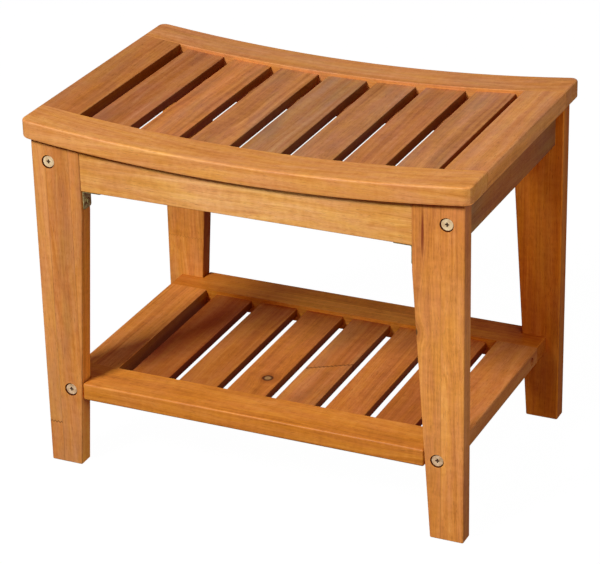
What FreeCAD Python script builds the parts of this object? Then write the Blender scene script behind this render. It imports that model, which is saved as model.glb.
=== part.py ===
"""Slatted wooden shower stool: dished seat, four tapered legs, aprons and a lower shelf.

Frame: +X to the right along the length, +Y to the back, +Z up, millimetres.
The origin is on the floor, under the middle of the stool.
"""
import FreeCAD
import Part
import os
import Sketcher

SEAT_SLATS = 7
SHELF_SLATS = 6

SIZES = {
    # Seat: its rails and end boards are sawn to one arc, lowest in the middle of the length.
    "seat_length": 560,
    "seat_depth": 364,
    "seat_height": 450,
    "seat_sag": 17,
    "seat_thickness": 23,
    "seat_rail_width": 52,
    "seat_end_width": 52,
    "seat_corner_round": 11,
    "seat_edge_round": 3,
    "seat_inner_edge_round": 0.8,
    "seat_slat_pitch": 64.1,
    "seat_slat_recess": 4,
    "seat_slat_thickness": 12.5,
    # Slats of seat and shelf, with a tenon at each end.
    "slat_width": 51,
    "slat_edge_round": 1.2,
    "tenon_length": 12,
    "tenon_width": 41,
    "tenon_thickness": 6,
    "tenon_play": 0.15,
    # Legs: boards with a straight outer edge and a tapered inner edge.
    "leg_span_length": 541,
    "leg_span_depth": 349,
    "leg_thickness": 21,
    "leg_width": 63,
    "foot_width": 41.6,
    "taper_height": 336,
    "leg_edge_round": 1.8,
    "foot_bevel": 1,
    "seat_seam": 0.3,
    # Aprons.
    "apron_thickness": 20,
    "apron_setback": 1,
    "apron_bottom": 366.5,
    "side_apron_thickness": 22,
    "side_apron_setback": 10.5,
    "side_apron_bottom": 370,
    "apron_edge_round": 1.2,
    # Shelf.
    "shelf_height": 113,
    "shelf_thickness": 22,
    "shelf_length": 507,
    "shelf_rail_width": 53,
    "shelf_end_width": 53,
    "shelf_slat_pitch": 64.5,
    "shelf_slat_recess": 4.5,
    "shelf_slat_thickness": 11,
    "shelf_edge_round": 2.5,
    "notch_play": 0.2,
    # Glued dowels.
    "dowel_radius": 4,
    "dowel_play": 0.05,
    "dowel_grip": 17,
    "dowel_end_gap": 1,
    "dowel_bevel": 1,
    "seat_frame_dowel_inset": 12,
    "apron_dowel_low": 15,
    "apron_dowel_high": 38,
    "shelf_dowel_inset": 12.5,
    "seat_dowel_rise": 12,
    "seat_dowel_spacing": 70,
    # Connector bolts and their barrel nuts.
    "bolt_radius": 3,
    "bolt_length": 70,
    "bolt_head_radius": 7.4,
    "bolt_head_thickness": 2.5,
    "bolt_recess_depth": 4,
    "bolt_recess_radius": 8.3,
    "bolt_play": 0.3,
    "bolt_end_gap": 2,
    "head_edge_round": 0.8,
    "bolt_cross_reach": 2.6,
    "bolt_cross_width": 2,
    "bolt_cross_depth": 1.5,
    "upper_bolt_height": 398,
    "lower_bolt_offset": 238,
    "nut_radius": 5,
    "nut_length": 14,
    "nut_play": 0.2,
    "nut_position": 103,
    # Corner brackets and their screws.
    "bracket_arm": 24,
    "bracket_width": 18,
    "bracket_thickness": 1.5,
    "bracket_setback": 3,
    "bracket_corner_round": 2.5,
    "screw_radius": 2,
    "screw_head_radius": 3.8,
    "screw_head_height": 2,
    "screw_length": 15,
    "screw_tip": 4,
    "screw_position": 15,
}

doc = FreeCAD.newDocument("ShowerStool")
sheet = doc.addObject("Spreadsheet::Sheet", "Sizes")
for row, (alias, size) in enumerate(SIZES.items(), start=1):
    sheet.set(f"A{row}", alias)
    sheet.set(f"B{row}", str(size))
    sheet.setAlias(f"B{row}", alias)
doc.recompute()

# Expressions on the sheet that several sub-parts share.
HALF_LENGTH = "Sizes.seat_length / 2"
HALF_DEPTH = "Sizes.seat_depth / 2"
RAIL_INNER = "(Sizes.seat_depth / 2 - Sizes.seat_rail_width)"
END_INNER = "(Sizes.seat_length / 2 - Sizes.seat_end_width)"
SEAT_RADIUS = "((pow(Sizes.seat_length / 2; 2) + pow(Sizes.seat_sag; 2)) / (2 * Sizes.seat_sag))"
SEAT_CENTRE = f"(Sizes.seat_height - Sizes.seat_sag + {SEAT_RADIUS})"
LEG_OUTER = "(Sizes.leg_span_length / 2)"
LEG_INNER = f"({LEG_OUTER} - Sizes.leg_width)"
LEG_FRONT = "(Sizes.leg_span_depth / 2)"
LEG_BACK = f"({LEG_FRONT} - Sizes.leg_thickness)"
APRON_MIDDLE = f"({LEG_FRONT} - Sizes.apron_setback - Sizes.apron_thickness / 2)"
SIDE_APRON_MIDDLE = f"({LEG_OUTER} - Sizes.side_apron_setback - Sizes.side_apron_thickness / 2)"
SHELF_BOTTOM = "(Sizes.shelf_height - Sizes.shelf_thickness)"
SHELF_MIDDLE = "(Sizes.shelf_height - Sizes.shelf_thickness / 2)"
SHELF_INNER = f"({LEG_FRONT} - Sizes.shelf_rail_width)"
SHELF_END = "(Sizes.shelf_length / 2)"
SHELF_END_INNER = f"({SHELF_END} - Sizes.shelf_end_width)"
DOWEL_HOLE = "(Sizes.dowel_radius + Sizes.dowel_play)"
DOWEL_DEPTH = "(Sizes.dowel_grip + Sizes.dowel_end_gap)"
BOLT_HOLE = "(Sizes.bolt_radius + Sizes.bolt_play)"
BOLT_SEAT = f"({LEG_FRONT} - Sizes.bolt_recess_depth)"
BOLT_HOLE_END = f"({BOLT_SEAT} - Sizes.bolt_length - Sizes.bolt_end_gap)"
NUT_HOLE = "(Sizes.nut_radius + Sizes.nut_play)"
SCREW_HOLE = "(Sizes.screw_radius + Sizes.dowel_play)"

# The stool's sides and corners with their names, and the axes that pieces are turned about.
SIDES = (-1, 1)
CORNERS = [(side_x, side_y) for side_y in SIDES for side_x in SIDES]
LEFT_RIGHT = {-1: "left", 1: "right"}
FRONT_BACK = {-1: "front", 1: "back"}
X_AXIS = (1, 0, 0)
Y_AXIS = (0, 1, 0)
Z_AXIS = (0, 0, 1)

# The way each origin plane faces, along its own axis of the stool's frame.
PLANE_NORMAL = {"XY_Plane": 1, "YZ_Plane": 1, "XZ_Plane": -1}


def number(expression):
    """The value that an expression on the sheet gives, in millimetres or degrees."""
    result = sheet.evalExpression(expression)
    return float(getattr(result, "Value", result))


def seat_curve(x, drop="0"):
    """Expression for the height of the seat's arc at x, lowered by drop."""
    return f"({SEAT_CENTRE} - ({drop}) - sqrt(pow({SEAT_RADIUS}; 2) - pow({x}; 2)))"


def new_body(label):
    """An empty body named after its sub-part."""
    return doc.addObject("PartDesign::Body", label)


def new_sketch(body, name, plane, level):
    """An empty sketch parallel to an origin plane, at the given level along the plane's axis."""
    sketch = body.newObject("Sketcher::SketchObject", f"{body.Name}_{name}")
    support = next(item for item in body.Origin.OriginFeatures if item.Role == plane)
    sketch.AttachmentSupport = [(support, "")]
    sketch.MapMode = "FlatFace"
    sketch.setExpression("AttachmentOffset.Base.z", f"{PLANE_NORMAL[plane]} * ({level})")
    return sketch


def tie(sketch, kind, geometry, point, expression):
    """Hold a point's distance from the sketch's origin, along X or Y, to an expression."""
    value = number(expression)
    if abs(value) < 1e-9:
        axis = -2 if kind == "DistanceX" else -1
        sketch.addConstraint(Sketcher.Constraint("PointOnObject", geometry, point, axis))
        return
    index = sketch.addConstraint(Sketcher.Constraint(kind, -1, 1, geometry, point, value))
    sketch.setExpression(f"Constraints[{index}]", expression)


def draw_outline(sketch, corners, arcs=None):
    """Draw a closed outline through corners, each a pair of expressions.

    arcs gives the drop of the seat's arc for the edges that follow it, by the number of the corner
    that the edge leaves. A corner on such an edge gets its height from the arc.
    """
    arcs = arcs or {}
    count = len(corners)
    points = [FreeCAD.Vector(number(x), number(y), 0) for x, y in corners]
    radius = number(SEAT_RADIUS)
    ends = []
    for index, start in enumerate(points):
        finish = points[(index + 1) % count]
        if index not in arcs:
            sketch.addGeometry(Part.LineSegment(start, finish))
            ends.append((1, 2))
            continue
        centre = FreeCAD.Vector(0, number(f"{SEAT_CENTRE} - ({arcs[index]})"), 0)
        left, right = sorted((start, finish), key=lambda point: point.x)
        middle_x = (left.x + right.x) / 2
        middle = FreeCAD.Vector(middle_x, centre.y - (radius**2 - middle_x**2) ** 0.5, 0)
        sketch.addGeometry(Part.Arc(left, middle, right))
        ends.append((1, 2) if start is left else (2, 1))
        tie(sketch, "DistanceX", index, 3, "0")
        tie(sketch, "DistanceY", index, 3, f"{SEAT_CENTRE} - ({arcs[index]})")
        constraint = sketch.addConstraint(Sketcher.Constraint("Radius", index, radius))
        sketch.setExpression(f"Constraints[{constraint}]", SEAT_RADIUS)
    for index in range(count):
        following = (index + 1) % count
        sketch.addConstraint(
            Sketcher.Constraint("Coincident", index, ends[index][1], following, ends[following][0])
        )
    for index, (x, y) in enumerate(corners):
        tie(sketch, "DistanceX", index, ends[index][0], x)
        if index not in arcs and (index - 1) % count not in arcs:
            tie(sketch, "DistanceY", index, ends[index][0], y)


def draw_circles(sketch, centres, radius):
    """Draw equal circles, whose centres are pairs of expressions."""
    for index, (x, y) in enumerate(centres):
        centre = FreeCAD.Vector(number(x), number(y), 0)
        sketch.addGeometry(Part.Circle(centre, FreeCAD.Vector(0, 0, 1), number(radius)))
        tie(sketch, "DistanceX", index, 3, x)
        tie(sketch, "DistanceY", index, 3, y)
        constraint = sketch.addConstraint(Sketcher.Constraint("Radius", index, number(radius)))
        sketch.setExpression(f"Constraints[{constraint}]", radius)


def box_corners(left, right, bottom, top):
    """The four corners of a rectangle, whose sides are expressions."""
    return [(left, bottom), (right, bottom), (right, top), (left, top)]


def add_slab(body, name, plane, low, high, corners, arcs=None):
    """Pad an outline so that it fills the space from low to high along the plane's axis."""
    start = low if PLANE_NORMAL[plane] > 0 else high
    sketch = new_sketch(body, f"{name}_sketch", plane, start)
    draw_outline(sketch, corners, arcs)
    pad = body.newObject("PartDesign::Pad", f"{body.Name}_{name}")
    pad.Profile = sketch
    pad.setExpression("Length", f"({high}) - ({low})")
    doc.recompute()
    return pad


def cut_hollow(body, name, plane, low, high, draw):
    """Cut the outline that draw makes, from low to high along the plane's axis, and test that it cut."""
    before = body.Shape.Volume
    start = high if PLANE_NORMAL[plane] > 0 else low
    sketch = new_sketch(body, f"{name}_sketch", plane, start)
    draw(sketch)
    pocket = body.newObject("PartDesign::Pocket", f"{body.Name}_{name}")
    pocket.Profile = sketch
    pocket.setExpression("Length", f"({high}) - ({low})")
    doc.recompute()
    if body.Shape.Volume > before - 1:
        raise RuntimeError(f"{pocket.Name} removed nothing")
    return pocket


def cut_holes(body, name, plane, low, high, centres, radius):
    """Drill equal round holes from low to high along the plane's axis."""
    return cut_hollow(body, name, plane, low, high, lambda sketch: draw_circles(sketch, centres, radius))


def repeat_cut(body, feature, kind, axis, step, count):
    """Repeat a cut in equal steps along or about an axis of its sketch, and test that all were made."""
    before = body.Shape.Volume
    once = feature.BaseFeature.Shape.Volume - before
    pattern = body.newObject(kind, f"{body.Name}_{feature.Name}_pattern")
    pattern.Originals = [feature]
    if kind.endswith("PolarPattern"):
        pattern.Axis = (feature.Profile[0], [axis])
        pattern.setExpression("Angle", f"{count - 1} * {step}")
    else:
        pattern.Direction = (feature.Profile[0], [axis])
        pattern.setExpression("Length", f"{count - 1} * {step}")
    pattern.Occurrences = count
    body.Tip = pattern
    doc.recompute()
    if abs(before - body.Shape.Volume - (count - 1) * once) > 1:
        raise RuntimeError(f"{pattern.Name} did not repeat {feature.Name} {count} times")


def round_edges(body, name, radius, wanted, kind="PartDesign::Fillet"):
    """Round or bevel the edges of the body's last shape for which wanted is true."""
    base = body.Tip
    edges = [f"Edge{index}" for index, edge in enumerate(base.Shape.Edges, start=1) if wanted(edge)]
    feature = body.newObject(kind, f"{body.Name}_{name}")
    feature.Base = (base, edges)
    feature.setExpression("Radius" if kind.endswith("Fillet") else "Size", radius)
    doc.recompute()
    return feature


def near(value, target):
    """True where two lengths agree to a hundredth of a millimetre."""
    return abs(value - target) < 0.01


def runs_along(edge, axis):
    """True where a straight edge is parallel to an axis, given as 0, 1 or 2."""
    start, finish = edge.Vertexes[0].Point, edge.Vertexes[-1].Point
    others = [index for index in range(3) if index != axis]
    return "Line" in edge.Curve.TypeId and all(near(start[index], finish[index]) for index in others)


def lies_at(edge, axis, level):
    """True where both ends of an edge are at a level along an axis."""
    return all(near(vertex.Point[axis], level) for vertex in edge.Vertexes)


def follows_arc(edge, drop):
    """True where both ends of an edge are on the seat's arc, lowered by drop."""
    centre = number(f"{SEAT_CENTRE} - ({drop})")
    radius = number(SEAT_RADIUS)
    return all(
        near(vertex.Point.z, centre - (radius**2 - vertex.Point.x**2) ** 0.5) for vertex in edge.Vertexes
    )


def mirrored(expression, side):
    """The expression on the chosen side of the origin, -1 or 1."""
    return f"{side} * ({expression})"


def span(side, inner, outer):
    """The lower and the upper end of a stretch from inner to outer, on the chosen side of the origin."""
    ends = (mirrored(inner, side), mirrored(outer, side))
    return ends if side > 0 else ends[::-1]


def place(body, x, y, z, axis=Z_AXIS, angle="0"):
    """Bind an object's Placement to expressions: a position, and a turn in degrees about an axis."""
    turn = f"create(<<rotation>>; create(<<vector>>; {axis[0]}; {axis[1]}; {axis[2]}); {angle})"
    body.setExpression("Placement", f"create(<<placement>>; create(<<vector>>; {x}; {y}; {z}); {turn})")


# Seat.

SEAT_SLAT_TURN = f"(Sizes.seat_slat_pitch / {SEAT_RADIUS} * 180 / pi)"
SEAT_FRAME_DOWELS = (
    f"({END_INNER} + Sizes.seat_frame_dowel_inset)",
    f"({HALF_LENGTH} - Sizes.seat_frame_dowel_inset)",
)
MORTISE_DEPTH = "(Sizes.tenon_length + Sizes.dowel_end_gap)"
MORTISE_HALF_WIDTH = "(Sizes.tenon_width / 2 + Sizes.tenon_play)"


def tenon_span(thickness):
    """Bottom and top of a slat's tenon, below the slat's top."""
    shoulder = f"({thickness} - Sizes.tenon_thickness) / 2"
    return f"-1 * ({shoulder} + Sizes.tenon_thickness)", f"-1 * ({shoulder})"


def draw_mortise(sketch, height, thickness):
    """Draw a mortise for a slat whose top is at the given height above the sketch's origin."""
    bottom, top = tenon_span(thickness)
    bottom = f"({height} + {bottom} - Sizes.tenon_play)"
    top = f"({height} + {top} + Sizes.tenon_play)"
    draw_outline(sketch, box_corners(f"-1 * {MORTISE_HALF_WIDTH}", MORTISE_HALF_WIDTH, bottom, top))


def draw_seat_mortise(sketch):
    """Draw the first seat mortise, in a sketch turned about the axis of the seat's arc."""
    sketch.setExpression("AttachmentOffset.Base.y", SEAT_CENTRE)
    sketch.setExpression("AttachmentOffset.Rotation.Angle", f"{(1 - SEAT_SLATS) / 2} * {SEAT_SLAT_TURN}")
    doc.recompute()
    draw_mortise(sketch, f"(-1 * {SEAT_RADIUS} - Sizes.seat_slat_recess)", "Sizes.seat_slat_thickness")


def seat_dowel_centres(sides):
    """Centres, in X and Z, of the dowels that join the seat's rails to its end boards."""
    return [
        (mirrored(x, side), seat_curve(x, "Sizes.seat_thickness / 2"))
        for side in sides
        for x in SEAT_FRAME_DOWELS
    ]


def curved_board(low_x, high_x):
    """Outline and arcs of a board between two places on the seat's length."""
    corners = [
        (low_x, seat_curve(low_x, "Sizes.seat_thickness")),
        (high_x, seat_curve(high_x, "Sizes.seat_thickness")),
        (high_x, seat_curve(high_x)),
        (low_x, seat_curve(low_x)),
    ]
    return corners, {0: "Sizes.seat_thickness", 2: "0"}


def make_seat_rail(label, side):
    """A full-length rail of the seat, with rounded outer corners and a mortise for each slat."""
    body = new_body(label)
    low, high = span(side, RAIL_INNER, HALF_DEPTH)
    corners, arcs = curved_board(f"-1 * ({HALF_LENGTH})", HALF_LENGTH)
    add_slab(body, "board", "XZ_Plane", low, high, corners, arcs)
    outer_y = side * number(HALF_DEPTH)
    inner_y = side * number(RAIL_INNER)
    round_edges(
        body,
        "corners",
        "Sizes.seat_corner_round",
        lambda edge: runs_along(edge, 2) and lies_at(edge, 1, outer_y),
    )
    for name, drop in (("top", "0"), ("underside", "Sizes.seat_thickness")):
        round_edges(
            body,
            name,
            "Sizes.seat_edge_round",
            lambda edge: follows_arc(edge, drop) and not lies_at(edge, 1, inner_y),
        )
    round_edges(
        body,
        "inner_edge",
        "Sizes.seat_inner_edge_round",
        lambda edge: follows_arc(edge, "0") and lies_at(edge, 1, inner_y),
    )
    low, high = span(side, RAIL_INNER, f"{RAIL_INNER} + {DOWEL_DEPTH}")
    cut_holes(body, "dowel_holes", "XZ_Plane", low, high, seat_dowel_centres(SIDES), DOWEL_HOLE)
    low, high = span(side, RAIL_INNER, f"{RAIL_INNER} + {MORTISE_DEPTH}")
    mortise = cut_hollow(body, "mortise", "XZ_Plane", low, high, draw_seat_mortise)
    repeat_cut(body, mortise, "PartDesign::PolarPattern", "N_Axis", SEAT_SLAT_TURN, SEAT_SLATS)
    return body


def seat_dowel_places(side):
    """Places, in X and Y, of the dowels that stand between a side apron and the seat."""
    return [
        (mirrored(SIDE_APRON_MIDDLE, side), f"{step} * Sizes.seat_dowel_spacing")
        for step in (-1, 0, 1)
    ]


def make_seat_end_board(label, side):
    """A board between the seat's rails, sawn to the same arc, with dowels from the side apron below."""
    body = new_body(label)
    low_x, high_x = span(side, END_INNER, HALF_LENGTH)
    corners, arcs = curved_board(low_x, high_x)
    add_slab(body, "board", "XZ_Plane", f"-1 * {RAIL_INNER}", RAIL_INNER, corners, arcs)
    outer_x = side * number(HALF_LENGTH)
    inner_x = side * number(END_INNER)
    round_edges(
        body,
        "outer_edges",
        "Sizes.seat_edge_round",
        lambda edge: runs_along(edge, 1) and lies_at(edge, 0, outer_x),
    )
    round_edges(
        body,
        "inner_edges",
        "Sizes.slat_edge_round",
        lambda edge: runs_along(edge, 1) and lies_at(edge, 0, inner_x),
    )
    for end in SIDES:
        low, high = span(end, f"{RAIL_INNER} - {DOWEL_DEPTH}", RAIL_INNER)
        centres = seat_dowel_centres((side,))
        cut_holes(body, f"{FRONT_BACK[end]}_dowel_holes", "XZ_Plane", low, high, centres, DOWEL_HOLE)
    underside = seat_curve(SIDE_APRON_MIDDLE, "Sizes.seat_thickness")
    cut_holes(
        body,
        "apron_dowel_holes",
        "XY_Plane",
        f"{underside} - Sizes.seat_thickness / 2",
        f"{underside} + Sizes.seat_dowel_rise + Sizes.dowel_end_gap",
        seat_dowel_places(side),
        DOWEL_HOLE,
    )
    return body


def make_slat(label, shoulder, thickness):
    """A slat along Y, its top at height 0, with a tenon beyond each shoulder."""
    body = new_body(label)
    half_width = "Sizes.slat_width / 2"
    reach = f"({shoulder} + Sizes.tenon_length)"
    corners = box_corners(f"-1 * {half_width}", half_width, f"-1 * {shoulder}", shoulder)
    add_slab(body, "board", "XY_Plane", f"-1 * {thickness}", "0", corners)
    round_edges(body, "edges", "Sizes.slat_edge_round", lambda edge: runs_along(edge, 1))
    half_tenon = "Sizes.tenon_width / 2"
    corners = box_corners(f"-1 * {half_tenon}", half_tenon, f"-1 * {reach}", reach)
    low, high = tenon_span(thickness)
    add_slab(body, "tenons", "XY_Plane", low, high, corners)
    return body


def make_seat_slats():
    """The seat's slats, set round the seat's arc a little below its surface."""
    slats = []
    for index in range(SEAT_SLATS):
        body = make_slat(f"seat_slat_{index + 1}", RAIL_INNER, "Sizes.seat_slat_thickness")
        turn = f"({index - (SEAT_SLATS - 1) / 2} * {SEAT_SLAT_TURN})"
        radius = f"({SEAT_RADIUS} + Sizes.seat_slat_recess)"
        x = f"{radius} * sin({turn})"
        z = f"{SEAT_CENTRE} - {radius} * cos({turn})"
        place(body, x, "0", z, Y_AXIS, f"-1 * {turn}")
        slats.append(body)
    return slats


# Legs and aprons.

UNDER_SEAT = "Sizes.seat_thickness + Sizes.seat_seam"
FOOT_INNER = f"({LEG_OUTER} - Sizes.foot_width)"
APRON_DOWEL_HEIGHTS = (
    "Sizes.apron_bottom + Sizes.apron_dowel_low",
    "Sizes.apron_bottom + Sizes.apron_dowel_high",
)
BRACKET_MIDDLE = f"({LEG_FRONT} - Sizes.bracket_setback - Sizes.bracket_width / 2)"
BRACKET_SCREW_HEIGHT = "Sizes.apron_bottom - Sizes.screw_position"
LOWER_BOLT_X = "Sizes.lower_bolt_offset"


def make_leg(label, side_x, side_y):
    """A leg board: straight outside, tapered inside below the apron, drilled for two bolts."""
    body = new_body(label)
    low, high = span(side_y, LEG_BACK, LEG_FRONT)
    inner, outer = mirrored(LEG_INNER, side_x), mirrored(LEG_OUTER, side_x)
    corners = [
        (mirrored(FOOT_INNER, side_x), "0"),
        (outer, "0"),
        (outer, seat_curve(outer, UNDER_SEAT)),
        (inner, seat_curve(inner, UNDER_SEAT)),
        (inner, "Sizes.taper_height"),
    ]
    add_slab(body, "board", "XZ_Plane", low, high, corners, {2: UNDER_SEAT})
    round_edges(
        body,
        "edges",
        "Sizes.leg_edge_round",
        lambda edge: not (runs_along(edge, 1) or lies_at(edge, 2, 0) or follows_arc(edge, UNDER_SEAT)),
    )
    round_edges(
        body, "foot", "Sizes.foot_bevel", lambda edge: lies_at(edge, 2, 0), kind="PartDesign::Chamfer"
    )
    bolts = [
        (mirrored(SIDE_APRON_MIDDLE, side_x), "Sizes.upper_bolt_height"),
        (mirrored(LOWER_BOLT_X, side_x), SHELF_MIDDLE),
    ]
    cut_holes(body, "bolt_holes", "XZ_Plane", low, high, bolts, BOLT_HOLE)
    low, high = span(side_y, f"{LEG_FRONT} - Sizes.bolt_recess_depth", LEG_FRONT)
    cut_holes(body, "bolt_recesses", "XZ_Plane", low, high, bolts, "Sizes.bolt_recess_radius")
    low, high = span(side_x, LEG_INNER, f"{LEG_INNER} + {DOWEL_DEPTH}")
    dowels = [(mirrored(APRON_MIDDLE, side_y), height) for height in APRON_DOWEL_HEIGHTS]
    cut_holes(body, "dowel_holes", "YZ_Plane", low, high, dowels, DOWEL_HOLE)
    low, high = span(side_x, LEG_INNER, f"{LEG_INNER} + Sizes.screw_length")
    screw = [(mirrored(BRACKET_MIDDLE, side_y), BRACKET_SCREW_HEIGHT)]
    cut_holes(body, "screw_hole", "YZ_Plane", low, high, screw, SCREW_HOLE)
    return body


def make_apron(label, side_y):
    """The apron between two legs: straight below, following the seat above."""
    body = new_body(label)
    front = f"({LEG_FRONT} - Sizes.apron_setback)"
    low, high = span(side_y, f"{front} - Sizes.apron_thickness", front)
    left = mirrored(LEG_INNER, -1)
    corners = [
        (left, "Sizes.apron_bottom"),
        (LEG_INNER, "Sizes.apron_bottom"),
        (LEG_INNER, seat_curve(LEG_INNER, UNDER_SEAT)),
        (left, seat_curve(left, UNDER_SEAT)),
    ]
    add_slab(body, "board", "XZ_Plane", low, high, corners, {2: UNDER_SEAT})
    bottom = number("Sizes.apron_bottom")
    round_edges(
        body,
        "lower_edges",
        "Sizes.apron_edge_round",
        lambda edge: runs_along(edge, 0) and lies_at(edge, 2, bottom),
    )
    dowels = [(mirrored(APRON_MIDDLE, side_y), height) for height in APRON_DOWEL_HEIGHTS]
    for end in SIDES:
        low, high = span(end, f"{LEG_INNER} - {DOWEL_DEPTH}", LEG_INNER)
        cut_holes(body, f"{LEFT_RIGHT[end]}_dowel_holes", "YZ_Plane", low, high, dowels, DOWEL_HOLE)
    screws = [
        (mirrored(f"{LEG_INNER} - Sizes.screw_position", end), mirrored(BRACKET_MIDDLE, side_y))
        for end in SIDES
    ]
    cut_holes(
        body,
        "screw_holes",
        "XY_Plane",
        "Sizes.apron_bottom",
        "Sizes.apron_bottom + Sizes.screw_length",
        screws,
        SCREW_HOLE,
    )
    return body


def make_side_apron(label, side_x):
    """The apron between a front and a back leg, drilled for the upper bolts and their barrel nuts."""
    body = new_body(label)
    half = "Sizes.side_apron_thickness / 2"
    low_x, high_x = span(side_x, f"{SIDE_APRON_MIDDLE} - {half}", f"{SIDE_APRON_MIDDLE} + {half}")
    corners = [
        (low_x, "Sizes.side_apron_bottom"),
        (high_x, "Sizes.side_apron_bottom"),
        (high_x, seat_curve(high_x, UNDER_SEAT)),
        (low_x, seat_curve(low_x, UNDER_SEAT)),
    ]
    add_slab(body, "board", "XZ_Plane", f"-1 * {LEG_BACK}", LEG_BACK, corners, {2: UNDER_SEAT})
    bottom = number("Sizes.side_apron_bottom")
    round_edges(
        body,
        "lower_edges",
        "Sizes.apron_edge_round",
        lambda edge: runs_along(edge, 1) and lies_at(edge, 2, bottom),
    )
    bolt = [(mirrored(SIDE_APRON_MIDDLE, side_x), "Sizes.upper_bolt_height")]
    for end in SIDES:
        low, high = span(end, BOLT_HOLE_END, LEG_BACK)
        cut_holes(body, f"{FRONT_BACK[end]}_bolt_hole", "XZ_Plane", low, high, bolt, BOLT_HOLE)
    nut_end = f"{SIDE_APRON_MIDDLE} + Sizes.nut_length / 2 + Sizes.dowel_end_gap"
    low, high = span(side_x, f"({SIDE_APRON_MIDDLE} - {half})", nut_end)
    nuts = [(mirrored("Sizes.nut_position", end), "Sizes.upper_bolt_height") for end in SIDES]
    cut_holes(body, "nut_holes", "YZ_Plane", low, high, nuts, NUT_HOLE)
    top = seat_curve(SIDE_APRON_MIDDLE, UNDER_SEAT)
    cut_holes(
        body,
        "seat_dowel_holes",
        "XY_Plane",
        f"{top} - {DOWEL_DEPTH}",
        f"{top} + {half}",
        seat_dowel_places(side_x),
        DOWEL_HOLE,
    )
    return body


# Shelf.

NOTCH_DEPTH = f"({LEG_BACK} - Sizes.notch_play)"
TAPER = "((Sizes.leg_width - Sizes.foot_width) / Sizes.taper_height)"
NOTCH_LENGTH = f"({FOOT_INNER} - {TAPER} * Sizes.shelf_height - Sizes.notch_play)"
SHELF_DOWEL_X = f"({SHELF_END_INNER} + Sizes.shelf_dowel_inset)"


def draw_shelf_mortise(sketch):
    """Draw the first shelf mortise, in a sketch whose origin is at the middle of its slat."""
    sketch.setExpression("AttachmentOffset.Base.x", f"{(1 - SHELF_SLATS) / 2} * Sizes.shelf_slat_pitch")
    doc.recompute()
    draw_mortise(sketch, "(Sizes.shelf_height - Sizes.shelf_slat_recess)", "Sizes.shelf_slat_thickness")


def make_shelf_rail(label, side):
    """A long rail of the shelf, notched round the two legs, with a mortise for each slat."""
    body = new_body(label)
    left_end, left_notch = mirrored(SHELF_END, -1), mirrored(NOTCH_LENGTH, -1)
    inner, notch, outer = (mirrored(y, side) for y in (SHELF_INNER, NOTCH_DEPTH, LEG_FRONT))
    corners = [
        (left_end, inner),
        (SHELF_END, inner),
        (SHELF_END, notch),
        (NOTCH_LENGTH, notch),
        (NOTCH_LENGTH, outer),
        (left_notch, outer),
        (left_notch, notch),
        (left_end, notch),
    ]
    add_slab(body, "board", "XY_Plane", SHELF_BOTTOM, "Sizes.shelf_height", corners)
    outer_y = side * number(LEG_FRONT)
    end_x = number(SHELF_END)
    chosen = (
        ("end_edges", lambda edge: runs_along(edge, 1) and near(abs(edge.Vertexes[0].X), end_x)),
        ("outer_corners", lambda edge: runs_along(edge, 2) and lies_at(edge, 1, outer_y)),
        ("outer_edges", lambda edge: runs_along(edge, 0) and lies_at(edge, 1, outer_y)),
    )
    for name, wanted in chosen:
        round_edges(body, name, "Sizes.shelf_edge_round", wanted)
    dowels = [(mirrored(SHELF_DOWEL_X, end), SHELF_MIDDLE) for end in SIDES]
    low, high = span(side, SHELF_INNER, f"{SHELF_INNER} + {DOWEL_DEPTH}")
    cut_holes(body, "dowel_holes", "XZ_Plane", low, high, dowels, DOWEL_HOLE)
    bolts = [(mirrored(LOWER_BOLT_X, end), SHELF_MIDDLE) for end in SIDES]
    low, high = span(side, SHELF_INNER, NOTCH_DEPTH)
    cut_holes(body, "bolt_holes", "XZ_Plane", low, high, bolts, BOLT_HOLE)
    low, high = span(side, SHELF_INNER, f"{SHELF_INNER} + {MORTISE_DEPTH}")
    mortise = cut_hollow(body, "mortise", "XZ_Plane", low, high, draw_shelf_mortise)
    repeat_cut(body, mortise, "PartDesign::LinearPattern", "H_Axis", "Sizes.shelf_slat_pitch", SHELF_SLATS)
    return body


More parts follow.
